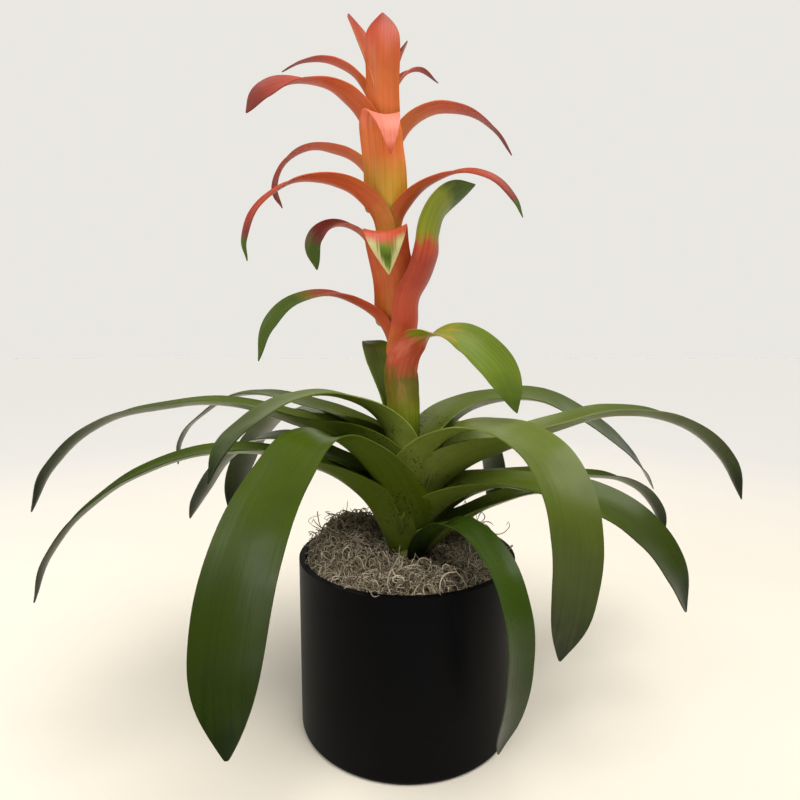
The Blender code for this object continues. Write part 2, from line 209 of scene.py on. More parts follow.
def colour_value(label, description, default):
    """A linear colour setting."""
    return bpy.props.FloatVectorProperty(name=label, description=description, default=default,
                                         size=3, min=0.0, max=1.0, subtype="COLOR")


class BromeliadLeafSettings(bpy.types.PropertyGroup):
    thickness: length_value("Thickness", "Thickness of a leaf blade", 0.9)
    waviness: length_value("Waviness", "How far the blade rises and dips", 2.6)
    roughness: share_value("Roughness", "Roughness of the waxy skin", 0.30)
    base_colour: colour_value("Base colour", "Where the leaf leaves the stock",
                              (0.070, 0.098, 0.0015))
    blade_colour: colour_value("Blade colour", "Middle of the blade", (0.056, 0.092, 0.0006))
    # The tip colour is partly the leaf's deeper green and partly painted shade on the hanging ends.
    tip_colour: colour_value("Tip colour", "Near the end of the blade", (0.006, 0.014, 0.0002))


class BromeliadBractSettings(bpy.types.PropertyGroup):
    thickness: length_value("Thickness", "Thickness of a bract", 0.7)
    waviness: length_value("Waviness", "How far a bract rises and dips", 1.6)
    roughness: share_value("Roughness", "Roughness of a bract's skin", 0.42)


class BromeliadMossSettings(bpy.types.PropertyGroup):
    fibres: count_value("Fibres", "How many fibres lie on the mat", 3000)
    loose_fibres: count_value("Loose fibres", "How many fibres spring up from the mat", 240)
    radius: length_value("Fibre radius", "Radius of one fibre", 0.40)
    pale_colour: colour_value("Pale colour", "Colour of the driest fibres", (0.46, 0.39, 0.28))
    dark_colour: colour_value("Dark colour", "Colour of the darkest fibres", (0.055, 0.042, 0.026))


class BromeliadPotSettings(bpy.types.PropertyGroup):
    wall: length_value("Wall", "Thickness of the ceramic wall", 5.0)
    floor: length_value("Floor", "Thickness of the ceramic floor", 6.0)
    colour: colour_value("Colour", "Colour of the matt glaze", (0.0008, 0.0009, 0.0016))
    roughness: share_value("Roughness", "Roughness of the matt glaze", 0.46)


class BromeliadStageSettings(bpy.types.PropertyGroup):
    camera_distance: length_value("Camera distance", "How far in front of the pot's axis", 442.2)
    camera_height: length_value("Camera height", "Height of the camera over the surface", 301.0)
    camera_pitch: bpy.props.FloatProperty(
        name="Camera pitch", description="How far the camera looks down",
        default=math.radians(6.7), subtype="ANGLE")
    focal_length: bpy.props.FloatProperty(
        name="Focal length", description="Focal length in millimetres on a 36 mm sensor",
        default=26.6, min=5.0)
    light: bpy.props.FloatProperty(
        name="Light", description="Strength of the soft light from above", default=2.9, min=0.0)
    floor_colour: colour_value("Floor colour", "Colour of the pale surface", (0.90, 0.84, 0.73))


# ------------------------------------------------------------------ modelling helpers
def lean(height):
    """Sideways place of the spike's axis at a height, both in mm."""
    share = min(max((height - LEAN_START) / LEAN_SPAN, 0.0), 1.0)
    return SPIKE_LEAN * share ** LEAN_CURVE


def deselect_all():
    """Leaves nothing selected, in object mode."""
    if bpy.context.object and bpy.context.object.mode != "OBJECT":
        bpy.ops.object.mode_set(mode="OBJECT")
    bpy.ops.object.select_all(action="DESELECT")


def make_active(piece):
    """Selects one object alone and makes it the active one."""
    deselect_all()
    piece.select_set(True)
    bpy.context.view_layer.objects.active = piece


def select_vertices(piece, wanted):
    """In edit mode, selects just the vertices whose place passes the test."""
    bpy.ops.mesh.select_all(action="DESELECT")
    shape = bmesh.from_edit_mesh(piece.data)
    for vertex in shape.verts:
        if wanted(vertex.co):
            vertex.select_set(True)
    shape.select_flush(True)
    bmesh.update_edit_mesh(piece.data)


def add_modifier(piece, kind, **settings):
    """Adds a modifier and applies it."""
    make_active(piece)
    modifier = piece.modifiers.new(kind.lower(), kind)
    for name, value in settings.items():
        setattr(modifier, name, value)
    bpy.ops.object.modifier_apply(modifier=modifier.name)


def smooth(piece, levels):
    """Applies a subdivision surface."""
    add_modifier(piece, "SUBSURF", levels=levels, render_levels=levels)


def settle(piece, name, nodes):
    """Names a finished piece, puts its place in its mesh and ties it to the frame."""
    make_active(piece)
    bpy.ops.object.transform_apply(location=True, rotation=True, scale=True)
    piece.name = name
    piece.data.name = name
    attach(piece, BODY)
    if nodes:
        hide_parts(*nodes)


def strap_blank(name):
    """A smooth flat strap one unit long and wide, with its outline and channel."""
    widths, depths = OUTLINES[name]
    steps = len(widths) - 1
    deselect_all()
    bpy.ops.mesh.primitive_grid_add(x_subdivisions=steps, y_subdivisions=4, size=1.0,
                                    location=(0.5, 0.0, 0.0))
    blank = bpy.context.object
    blank.name = f"{name}_blank"
    bpy.ops.object.transform_apply(location=True)
    bpy.ops.object.mode_set(mode="EDIT")
    for across in (0.5, 1.0):
        select_vertices(blank, lambda place: abs(abs(place.y) - across / 2) < 0.01)
        bpy.ops.transform.translate(value=(0.0, 0.0, across ** 2))
    for step, (share, depth) in enumerate(zip(widths, depths)):
        row = step / steps
        select_vertices(blank, lambda place: abs(place.x - row) < 0.01)
        bpy.ops.transform.resize(value=(1.0, share, share * depth),
                                 center_override=(row, 0.0, 0.0))
    bpy.ops.object.mode_set(mode="OBJECT")
    smooth(blank, 3)
    grain = blank.data.uv_layers.new(name="grain")
    for corner in blank.data.loops:
        place = blank.data.vertices[corner.vertex_index].co
        grain.data[corner.index].uv = place.xy
    return blank


def guide_curve(azimuth, points, base_share, tip_share):
    """The line that a strap is bent along, widening or narrowing the strap at its ends."""
    data = bpy.data.curves.new("guide", "CURVE")
    data.dimensions = "3D"
    data.resolution_u = 24
    data.twist_mode = "MINIMUM"
    data.use_stretch = True
    data.use_deform_bounds = True
    spline = data.splines.new("BEZIER")
    spline.bezier_points.add(len(points) - 1)
    root_height = LIP / MM + points[0][1]
    for index, (knot, point) in enumerate(zip(spline.bezier_points, points)):
        out, up, swing, twist = (*point, 0.0, 0.0)[:4]
        angle = math.radians(azimuth + swing)
        height = LIP / MM + up
        shift = lean(height) if index > 1 else lean(root_height)
        knot.co = Vector((shift + out * math.cos(angle), out * math.sin(angle), height)) * MM
        knot.tilt = math.radians(twist)
        place = index / (len(points) - 1)
        knot.radius = (1.0 - (1.0 - base_share) * max(1.0 - place / 0.35, 0.0)
                       - (1.0 - tip_share) * max(2.0 * place - 1.0, 0.0))
        knot.handle_left_type = "AUTO"
        knot.handle_right_type = "AUTO"
    guide = bpy.data.objects.new("guide", data)
    bpy.context.collection.objects.link(guide)
    return guide


def bent_strap(blank, azimuth, width, points, base_share, tip_share, channel, waviness,
               thickness, ripples):
    """One copy of the strap, scaled, bent along its guide, rippled and given its thickness."""
    piece = blank.copy()
    piece.data = blank.data.copy()
    bpy.context.collection.objects.link(piece)
    make_active(piece)
    piece.scale = (1.0, width * MM, width * MM * channel)
    bpy.ops.object.transform_apply(scale=True)
    guide = guide_curve(azimuth, points, base_share, tip_share)
    add_modifier(piece, "CURVE", object=guide, deform_axis="POS_X")
    bpy.data.objects.remove(guide)
    add_modifier(piece, "DISPLACE", texture=ripples, texture_coords="GLOBAL", strength=waviness,
                 mid_level=0.5)
    add_modifier(piece, "SOLIDIFY", thickness=thickness, offset=0.0, material_offset=1)
    bpy.ops.object.shade_smooth_by_angle(angle=math.radians(50))
    return piece


def ripple_texture(name, size):
    """A soft cloud pattern that makes a blade rise and dip."""
    texture = bpy.data.textures.new(name, "CLOUDS")
    texture.noise_scale = size
    texture.noise_depth = 1
    return texture


# ------------------------------------------------------------------ material helpers
class Finish:
    """A material with short ways to add and link its nodes."""

    def __init__(self, name, roughness=0.5):
        self.material = bpy.data.materials.new(name)
        self.material.use_nodes = True
        self.nodes = self.material.node_tree.nodes
        self.links = self.material.node_tree.links
        self.shader = self.nodes["Principled BSDF"]
        self.shader.inputs["Roughness"].default_value = roughness

    def node(self, kind, **settings):
        made = self.nodes.new(kind)
        for name, value in settings.items():
            setattr(made, name, value)
        return made

    def link(self, source, target):
        self.links.new(source, target)

    def coordinates(self, which="Object"):
        return self.node("ShaderNodeTexCoord").outputs[which]

    def stretched(self, vector, scale):
        mapping = self.node("ShaderNodeMapping")
        mapping.inputs["Scale"].default_value = scale
        self.link(vector, mapping.inputs["Vector"])
        return mapping.outputs["Vector"]

    def noise(self, vector, scale, detail=3.0, roughness=0.55):
        made = self.node("ShaderNodeTexNoise")
        made.inputs["Scale"].default_value = scale
        made.inputs["Detail"].default_value = detail
        made.inputs["Roughness"].default_value = roughness
        self.link(vector, made.inputs["Vector"])
        return made.outputs["Fac"]

    def math(self, operation, first, second=None):
        made = self.node("ShaderNodeMath", operation=operation)
        for socket, value in zip(made.inputs, (first, second)):
            if isinstance(value, (int, float)):
                socket.default_value = value
            elif value is not None:
                self.link(value, socket)
        return made.outputs["Value"]

    def remap(self, value, low, high, to_low=0.0, to_high=1.0):
        made = self.node("ShaderNodeMapRange")
        for name, number in (("From Min", low), ("From Max", high), ("To Min", to_low),
                             ("To Max", to_high)):
            made.inputs[name].default_value = number
        self.link(value, made.inputs["Value"])
        return made.outputs["Result"]

    def ramp(self, value, stops):
        """Colours along a value; a stop is (place, colour)."""
        made = self.node("ShaderNodeValToRGB")
        points = made.color_ramp.elements
        while len(points) < len(stops):
            points.new(0.5)
        for point, (place, colour) in zip(points, stops):
            point.position = place
            point.color = (*colour, 1.0)
        self.link(value, made.inputs["Fac"])
        return made.outputs["Color"]

    def mix(self, share, first, second, blend="MIX"):
        made = self.node("ShaderNodeMix", data_type="RGBA", blend_type=blend)
        made.clamp_factor = True
        for socket, value in ((made.inputs[0], share), (made.inputs[6], first),
                              (made.inputs[7], second)):
            if isinstance(value, (int, float)):
                socket.default_value = value
            elif isinstance(value, tuple):
                socket.default_value = (*value, 1.0)
            else:
                self.link(value, socket)
        return made.outputs[2]

    def bump(self, height, distance, strength=1.0, below=None):
        made = self.node("ShaderNodeBump")
        made.inputs["Strength"].default_value = strength
        made.inputs["Distance"].default_value = distance
        self.link(height, made.inputs["Height"])
        if below:
            self.link(below, made.inputs["Normal"])
        return made.outputs["Normal"]

    def finish(self, colour=None, roughness=None, normal=None):
        for name, source in (("Base Color", colour), ("Roughness", roughness),
                             ("Normal", normal)):
            if source is not None:
                self.link(source, self.shader.inputs[name])
        return self.material


def blade_finish(name, stops, roughness, gloss, patch=None, patch_share=0.0, bloom_and_sheen=0.0,
                 specks=0.0, fray=0.025, rim=None):
    """Living skin of a leaf or bract: colour from base to tip and lengthwise veins.

    A patch is a second colour blotched over the middle, the pale haze amount stands partly for a
    waxy coat and partly for a painted sheen, specks are crumbs of soil at the base, fray is how far
    the colours run into each other, and rim is the colour of both edges beyond a fold.
    """
    skin = Finish(name, roughness)
    split = skin.node("ShaderNodeSeparateXYZ")
    skin.link(skin.node("ShaderNodeUVMap", uv_map="UVMap").outputs["UV"], split.inputs["Vector"])
    along, across = split.outputs["X"], split.outputs["Y"]
    grain = skin.node("ShaderNodeUVMap", uv_map="grain").outputs["UV"]
    place = skin.coordinates()
    veins = skin.noise(skin.stretched(grain, (1.6, 30.0, 1.0)), 1.0, 4.0, 0.60)
    bands = skin.noise(skin.stretched(grain, (1.1, 11.0, 1.0)), 1.0, 3.0, 0.55)
    clouds = skin.noise(place, 34.0, 3.0)
    wander = skin.math("ADD", skin.remap(clouds, 0.3, 0.7, -0.05, 0.05),
                       skin.remap(bands, 0.3, 0.7, -fray, fray))
    colour = skin.ramp(skin.math("ADD", along, wander), stops)
    if patch:
        blotch = skin.noise(skin.stretched(grain, (5.5, 2.2, 1.0)), 1.3, 5.0, 0.6)
        middle = skin.math("MULTIPLY", skin.remap(along, 0.12, 0.40),
                           skin.remap(along, 0.55, 0.70, 1.0, 0.0))
        share = skin.math("MULTIPLY", skin.remap(blotch, 0.50, 0.60, 0.0, patch_share), middle)
        colour = skin.mix(share, colour, patch)
    colour = skin.mix(skin.remap(bands, 0.46, 0.66, 0.0, 0.32), colour, (0.62, 0.62, 0.40),
                      "SOFT_LIGHT")
    colour = skin.mix(skin.remap(bands, 0.32, 0.50, 0.30, 0.0), colour, (0.42, 0.42, 0.34),
                      "MULTIPLY")
    colour = skin.mix(skin.remap(veins, 0.34, 0.52, 0.22, 0.0), colour, (0.45, 0.44, 0.34),
                      "MULTIPLY")
    # Pale haze over the upper half of the blade: partly a waxy coat, partly a painted sheen.
    if bloom_and_sheen:
        haze = skin.math("MULTIPLY", skin.remap(skin.noise(place, 15.0, 2.0), 0.42, 0.70),
                         skin.remap(along, 0.35, 0.75, 1.0, 0.1))
        colour = skin.mix(skin.math("MULTIPLY", haze, bloom_and_sheen), colour, (0.30, 0.36, 0.20))
    from_rim = skin.math("ABSOLUTE", skin.math("SUBTRACT", across, 0.5))
    if rim:
        outer = skin.math("MULTIPLY", skin.remap(along, 0.74, 0.80), skin.remap(
            skin.math("ADD", from_rim, skin.remap(veins, 0.3, 0.7, -0.10, 0.10)), 0.20, 0.34))
        colour = skin.mix(outer, colour, rim)
    colour = skin.mix(skin.remap(from_rim, 0.482, 0.499, 0.0, 0.45), colour,
                      (0.55, 0.55, 0.36), "SOFT_LIGHT")
    if specks:
        dirt = skin.noise(place, 420.0, 2.0, 0.5)
        here = skin.math("MULTIPLY", skin.remap(along, 0.10, 0.22, 1.0, 0.0),
                         skin.remap(skin.noise(place, 60.0, 2.0), 0.46, 0.56))
        dots = skin.math("MULTIPLY", skin.remap(dirt, 0.58, 0.62), here)
        colour = skin.mix(skin.math("MULTIPLY", dots, specks), colour, (0.012, 0.008, 0.005))
    normal = skin.bump(bands, 0.35 * MM, 0.5)
    normal = skin.bump(veins, 0.04 * MM, 0.5, normal)
    rough = skin.remap(clouds, 0.3, 0.7, roughness - 0.05, roughness + 0.08)
    skin.shader.inputs["Specular IOR Level"].default_value = gloss
    return skin.finish(colour, rough, normal)


def blended(first, second, share):
    """A colour between two others."""
    return tuple(a + (b - a) * share for a, b in zip(first, second))


# ------------------------------------------------------------------ leaves
def leaf_finishes(settings, yellow):
    """Upper and lower skin of a leaf, the lower one darkened as painted shade; yellow runs from 0
    to 1, and a value below 0 darkens the leaf as painted shade.
    """
    base = blended(tuple(settings.base_colour), (0.34, 0.40, 0.07), yellow)
    blade = blended(tuple(settings.blade_colour), (0.17, 0.22, 0.035), yellow * 0.7)
    tip = tuple(settings.tip_colour)
    # The upper skin darkens toward the tip: partly the leaf's own deeper green, partly painted
    # shade on the hanging ends.
    upper = blade_finish(
        "leaf_upper", ((0.0, base), (0.22, blended(base, blade, 0.8)), (0.46, blade),
                       (0.70, blended(blade, tip, 0.55)), (0.88, blended(blade, tip, 0.8)),
                       (0.985, tip)),
        settings.roughness, 0.24, bloom_and_sheen=0.05, specks=0.9, fray=0.06)
    # The lower skin is blended toward this dark green: painted shade on the leaves' undersides.
    dark = (0.012, 0.022, 0.000)
    lower = blade_finish(
        "leaf_lower", ((0.0, blended(base, dark, 0.45)), (0.20, blended(base, dark, 0.75)),
                       (0.45, blended(blade, dark, 0.70)), (0.90, blended(tip, dark, 0.4)),
                       (0.985, tip)),
        settings.roughness + 0.06, 0.10, specks=0.9, fray=0.06)
    return upper, lower


class BROMELIAD_OT_leaves(bpy.types.Operator):
    """Build the arching strap leaves of the rosette"""
    bl_idname = "bromeliad.leaves"
    bl_label = "Leaves"

    def execute(self, context):
        settings = context.scene.bromeliad_leaves
        blank = strap_blank("leaf")
        ripples = ripple_texture("leaf_ripples", 0.055)
        finishes = {}
        for name, (azimuth, width, look, points) in LEAVES.items():
            base_share, share, tip_share, channel, yellow = look
            piece = bent_strap(blank, azimuth, width * share, points, base_share, tip_share,
                               channel, settings.waviness, settings.thickness, ripples)
            if yellow not in finishes:
                finishes[yellow] = leaf_finishes(settings, yellow)
            for finish in finishes[yellow]:
                piece.data.materials.append(finish)
            settle(piece, f"{name}_blade", [name])
        bpy.data.objects.remove(blank)
        return {"FINISHED"}


# ------------------------------------------------------------------ bracts
YELLOW = (0.62, 0.34, 0.040)
AMBER = (0.64, 0.20, 0.024)
ORANGE = (0.58, 0.115, 0.020)
CORAL = (0.54, 0.070, 0.022)
RED = (0.36, 0.034, 0.014)
DARK_RED = (0.13, 0.010, 0.006)
SALMON = (0.90, 0.25, 0.17)
FLAME = (0.78, 0.20, 0.045)
PALE = (0.52, 0.46, 0.20)
LIME = (0.24, 0.28, 0.018)
LEAF_GREEN = (0.15, 0.22, 0.016)
GREEN = (0.060, 0.105, 0.004)
OLIVE = (0.17, 0.14, 0.012)

BRACT_FINISHES = {
    "orange": ((0.0, LIME), (0.10, YELLOW), (0.24, AMBER), (0.38, ORANGE), (0.58, CORAL),
               (0.74, RED), (0.92, DARK_RED)),
    "crown": ((0.0, YELLOW), (0.14, AMBER), (0.30, FLAME), (0.55, ORANGE), (0.80, CORAL),
              (0.97, RED)),
    "salmon_fold": ((0.0, LIME), (0.06, YELLOW), (0.20, YELLOW), (0.40, FLAME), (0.60, FLAME),
                    (0.70, SALMON), (0.90, SALMON), (0.98, CORAL)),
    "thin_end": ((0.0, LIME), (0.08, YELLOW), (0.20, ORANGE), (0.48, CORAL), (0.74, RED),
                 (0.92, DARK_RED), (0.96, GREEN)),
    "green_tip": ((0.0, LIME), (0.10, AMBER), (0.28, ORANGE), (0.62, CORAL), (0.74, CORAL),
                  (0.79, LEAF_GREEN), (0.84, GREEN), (0.92, LEAF_GREEN), (0.99, PALE)),
    "curl": ((0.0, LIME), (0.12, ORANGE), (0.40, CORAL), (0.62, RED), (0.76, DARK_RED),
             (0.84, GREEN), (0.99, GREEN)),
    "red_green_end": ((0.0, LIME), (0.10, ORANGE), (0.34, CORAL), (0.56, RED), (0.64, OLIVE),
                      (0.70, GREEN), (0.99, GREEN)),
    "red_over_green": ((0.0, AMBER), (0.20, CORAL), (0.52, RED), (0.60, CORAL), (0.66, LIME),
                       (0.80, LIME), (0.88, GREEN), (0.99, GREEN)),
    "green_over_red": ((0.0, GREEN), (0.14, LIME), (0.25, OLIVE), (0.33, CORAL), (0.42, CORAL),
                       (0.49, LIME), (0.56, LIME), (0.66, LEAF_GREEN), (0.84, LEAF_GREEN),
                       (0.97, GREEN)),
    "green": ((0.0, OLIVE), (0.14, LIME), (0.40, LEAF_GREEN), (0.80, LEAF_GREEN),
              (0.99, GREEN)),
}


def bract_finishes(settings, look):
    """Upper and lower skin of a bract."""
    stops = BRACT_FINISHES[look]
    paler = tuple((place, blended(colour, SALMON, 0.07) if colour[0] > 2.0 * colour[1] else colour)
                  for place, colour in stops)
    patch = {"green_over_red": SALMON, "red_over_green": RED, "red_green_end": RED}
    share = 0.40 if look in patch else 0.0 if look == "green" else 0.25
    rim = PALE if look == "green_tip" else None
    upper = blade_finish(f"bract_{look}_inner", paler, settings.roughness, 0.30,
                         patch.get(look, AMBER), share, rim=rim)
    lower = blade_finish(f"bract_{look}_outer", stops, settings.roughness, 0.25,
                         patch.get(look, AMBER), share * 0.6, rim=rim)
    return upper, lower


class BROMELIAD_OT_bracts(bpy.types.Operator):
    """Build the coloured bracts of the flower spike"""
    bl_idname = "bromeliad.bracts"
    bl_label = "Bracts"

    def execute(self, context):
        settings = context.scene.bromeliad_bracts
        blanks = {outline: strap_blank(outline) for outline in OUTLINES if outline != "leaf"}
        ripples = ripple_texture("bract_ripples", 0.030)
        finishes = {look: bract_finishes(settings, look) for look in BRACT_FINISHES}
        for name, (azimuth, width, look, points) in BRACTS.items():
            outline, share, tip_share, channel, skin = look
            piece = bent_strap(blanks[outline], azimuth, width * share, points, 1.0, tip_share,
                               channel, settings.waviness, settings.thickness, ripples)
            for finish in finishes[skin]:
                piece.data.materials.append(finish)
            settle(piece, f"{name}_blade", [name])
        for blank in blanks.values():
            bpy.data.objects.remove(blank)
        return {"FINISHED"}


# ------------------------------------------------------------------ stalk
def stalk_finish():
    """Yellow-green stem skin with lengthwise fibres."""
    skin = Finish("stalk_skin", 0.5)
    place = skin.coordinates()
    fibres = skin.noise(skin.stretched(place, (600.0, 600.0, 30.0)), 1.0, 3.0)
    clouds = skin.noise(place, 40.0, 3.0)
    colour = skin.ramp(clouds, ((0.30, (0.07, 0.09, 0.010)), (0.60, (0.20, 0.22, 0.035))))
    colour = skin.mix(skin.remap(fibres, 0.35, 0.65, 0.0, 0.35), colour, (0.28, 0.20, 0.06))
    return skin.finish(colour, skin.remap(clouds, 0.3, 0.7, 0.42, 0.58),
                       skin.bump(fibres, 0.3 * MM, 0.6))


class BROMELIAD_OT_stalk(bpy.types.Operator):
    """Build the root stock and the flower stalk"""
    bl_idname = "bromeliad.stalk"
    bl_label = "Stalk"

    def execute(self, context):
        heights_and_radii = (
            (STALK_LOW.z / MM, 12.0), (112.0, 12.0), (124.0, 10.6), (170.0, 8.2), (200.0, 6.2),
            (240.0, 5.7), (300.0, 5.4), (360.0, 5.0), (420.0, 4.4), (456.0, 3.8),
            (STALK_HIGH.z / MM, 1.8),
        )
        deselect_all()
        bpy.ops.mesh.primitive_cylinder_add(vertices=32, radius=1.0, depth=1.0,
                                            end_fill_type="NGON")
        stalk = bpy.context.object
        bpy.ops.object.mode_set(mode="EDIT")
        low, low_radius = heights_and_radii[0]
        bpy.ops.mesh.select_all(action="SELECT")
        bpy.ops.transform.resize(value=(low_radius * MM, low_radius * MM, MM))
        bpy.ops.transform.translate(value=(0.0, 0.0, (low + 0.5) * MM))
        radius, height = low_radius, low + 1.0
        for next_height, next_radius in heights_and_radii[1:]:
            top = height * MM
            select_vertices(stalk, lambda place: place.z > top - 0.1 * MM)
            move = ((lean(next_height) - lean(height)) * MM, 0.0, (next_height - height) * MM)
            bpy.ops.mesh.extrude_region_move(TRANSFORM_OT_translate={"value": move})
            share = next_radius / radius
            bpy.ops.transform.resize(value=(share, share, 1.0),
                                     center_override=(lean(next_height) * MM, 0.0,
                                                      next_height * MM))
            radius, height = next_radius, next_height
        bpy.ops.object.mode_set(mode="OBJECT")
        bpy.ops.object.shade_smooth_by_angle(angle=math.radians(50))
        stalk.data.materials.append(stalk_finish())
        settle(stalk, "flower_stalk_stem", ["flower_stalk"])
        return {"FINISHED"}


# ------------------------------------------------------------------ pot
def glaze_finish(settings):
    """Matt black glaze with faint clouding, fine grain and a few dull scuffs."""
    glaze = Finish("pot_matt_glaze", settings.roughness)
    place = glaze.coordinates()
    clouds = glaze.noise(place, 9.0, 4.0)
    grain = glaze.noise(place, 900.0, 2.0)
    scuffs = glaze.noise(glaze.stretched(place, (26.0, 26.0, 7.0)), 1.0, 6.0, 0.7)
    black = tuple(settings.colour)
    colour = glaze.ramp(clouds, ((0.3, black), (0.7, blended(black, (0.004, 0.004, 0.005), 0.4))))
    colour = glaze.mix(glaze.remap(scuffs, 0.62, 0.72, 0.0, 0.25), colour, (0.010, 0.010, 0.010))
    rough = glaze.math("ADD", glaze.remap(clouds, 0.3, 0.7, settings.roughness - 0.05,
                                          settings.roughness + 0.05),
                       glaze.remap(scuffs, 0.60, 0.75, 0.0, 0.10))
    normal = glaze.bump(grain, 0.06 * MM, 0.5, glaze.bump(clouds, 0.9 * MM, 0.5))
    glaze.shader.inputs["Specular IOR Level"].default_value = 0.05
    return glaze.finish(colour, rough, normal)


class BROMELIAD_OT_pot(bpy.types.Operator):
    """Build the ceramic pot from a cylinder: hollowed, with a round lip and foot"""
    bl_idname = "bromeliad.pot"
    bl_label = "Pot"

    def execute(self, context):
        settings = context.scene.bromeliad_pot
        deselect_all()
        bpy.ops.mesh.primitive_cylinder_add(vertices=160, radius=POT_RADIUS, depth=LIP,
                                            location=(0.0, 0.0, LIP / 2))
        pot = bpy.context.object
        bpy.ops.object.transform_apply(location=True)
        bpy.ops.object.mode_set(mode="EDIT")
        bpy.ops.mesh.select_mode(type="VERT")
        select_vertices(pot, lambda place: place.z > LIP - 0.1 * MM)
        inner_share = (POT_RADIUS - settings.wall) / POT_RADIUS
        bpy.ops.mesh.extrude_region_move()
        bpy.ops.transform.resize(value=(inner_share, inner_share, 1.0),
                                 center_override=(0.0, 0.0, LIP))
        bpy.ops.mesh.extrude_region_move(
            TRANSFORM_OT_translate={"value": (0.0, 0.0, settings.floor - LIP)})
        for rim_height, reach, inside, width, segments in (
                (LIP, POT_RADIUS * 1.1, POT_RADIUS * 0.9, 2.3 * MM, 5),
                (0.0, POT_RADIUS * 1.1, POT_RADIUS * 0.99, 3.5 * MM, 6)):
            shape = bmesh.from_edit_mesh(pot.data)
            for edge in shape.edges:
                flat = all(abs(vertex.co.z - rim_height) < 0.1 * MM for vertex in edge.verts)
                spans = [vertex.co.xy.length for vertex in edge.verts]
                around = abs(spans[0] - spans[1]) < 0.1 * MM
                edge.select_set(flat and around and inside < spans[0] < reach)
            bmesh.update_edit_mesh(pot.data)
            bpy.ops.mesh.bevel(offset=width, segments=segments, profile=0.5)
        bpy.ops.object.mode_set(mode="OBJECT")
        bpy.ops.object.shade_smooth_by_angle(angle=math.radians(35))
        pot.data.materials.append(glaze_finish(settings))
        settle(pot, "matt_black_pot", ["ceramic_pot"])
        return {"FINISHED"}


class BROMELIAD_OT_hidden_fill(bpy.types.Operator):
    """Finish the grow pot and the potting mix under the moss"""
    bl_idname = "bromeliad.hidden_fill"
    bl_label = "Grow pot and potting mix"

    def execute(self, context):
        plastic = Finish("grow_pot_plastic", 0.5)
        place = plastic.coordinates()
        grain = plastic.noise(place, 500.0, 2.0)
        clouds = plastic.noise(place, 30.0, 3.0)
        shade = plastic.ramp(clouds, ((0.3, (0.012, 0.012, 0.012)), (0.7, (0.03, 0.03, 0.03))))
        black = plastic.finish(shade, plastic.remap(clouds, 0.3, 0.7, 0.42, 0.6),
                               plastic.bump(grain, 0.1 * MM, 0.5))
        soil = Finish("potting_mix_crumbs", 0.95)
        place = soil.coordinates()
        crumbs = soil.noise(place, 320.0, 6.0, 0.7)
        bark = soil.noise(place, 90.0, 4.0)
        shade = soil.ramp(crumbs, ((0.3, (0.012, 0.008, 0.005)), (0.55, (0.05, 0.03, 0.018)),
                                   (0.75, (0.15, 0.10, 0.06))))
        shade = soil.mix(soil.remap(bark, 0.55, 0.65, 0.0, 0.5), shade, (0.10, 0.055, 0.03))
        brown = soil.finish(shade, None, soil.bump(crumbs, 2.0 * MM, 0.9))
        for node, material in (("grow_pot", black), ("potting_mix", brown)):
            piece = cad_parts[node]
            piece.data.materials.clear()
            piece.data.materials.append(material)
        return {"FINISHED"}


# ------------------------------------------------------------------ moss
# Where the moss is heaped: (x, y, spread) in metres and the height in mm.
MOSS_MOUNDS = (
    (-0.040, 0.040, 0.034, 13.0),
    (0.048, 0.034, 0.026, 8.0),
    (-0.048, -0.018, 0.022, 4.0),
    (0.004, -0.052, 0.024, 3.5),
)


def moss_height(x, y):
    """Height of the moss mat over the pot's lip at a place in the pot, in metres."""
    out = math.hypot(x, y) / MOSS_RADIUS
    edge = -4.0 * max(out - 0.86, 0.0) / 0.14
    heart = -6.0 * max(0.42 - out, 0.0) / 0.42
    lumps = 4.0 * noise.noise(Vector((x, y, 0.3)) * 42.0)
    mounds = sum(height * math.exp(-((x - px) ** 2 + (y - py) ** 2) / spread ** 2)
                 for px, py, spread, height in MOSS_MOUNDS)
    return (-3.5 + edge + heart + lumps + mounds) * MM


def fibre_path(chance, start, length, loose):
    """A curling line of points that keeps close to the mat, or springs up from it if loose."""
    stride = 1.9 * MM
    heading = Vector((chance.uniform(-1, 1), chance.uniform(-1, 1), chance.uniform(-0.4, 0.6)))
    heading.normalize()
    axis = Vector((chance.uniform(-0.6, 0.6), chance.uniform(-0.6, 0.6),
                   chance.choice((-1.0, 1.0)))).normalized()
    curl = stride / (chance.uniform(3.2, 9.0) * MM)
    point = start.copy()
    path = [point.copy()]
    for _ in range(int(length / stride)):
        if chance.random() < 0.10:
            curl = stride / (chance.uniform(3.2, 14.0) * MM) * chance.choice((-1.0, 1.0, 1.0))
        axis = (axis + Vector((chance.gauss(0, 0.14), chance.gauss(0, 0.14),
                               chance.gauss(0, 0.14)))).normalized()
        heading = Quaternion(axis, curl) @ heading
        ground = LIP + moss_height(point.x, point.y)
        rise = (point.z - ground) / MM
        if not loose or rise > 24.0:
            heading.z += (2.2 - rise) * 0.075
        out = point.xy.length
        inside = POT_RADIUS - 6.0 * MM
        if out > inside and point.z < LIP + 1.0 * MM or out > inside + 9.0 * MM:
            heading.xy -= point.xy / out * 0.7
        heading.normalize()
        point = point + heading * stride
        point.z = max(point.z, ground - 0.6 * MM)
        out = point.xy.length
        if out > inside and point.z < LIP + 0.9 * MM:
            point.xy *= inside / out
        path.append(point.copy())
    return path


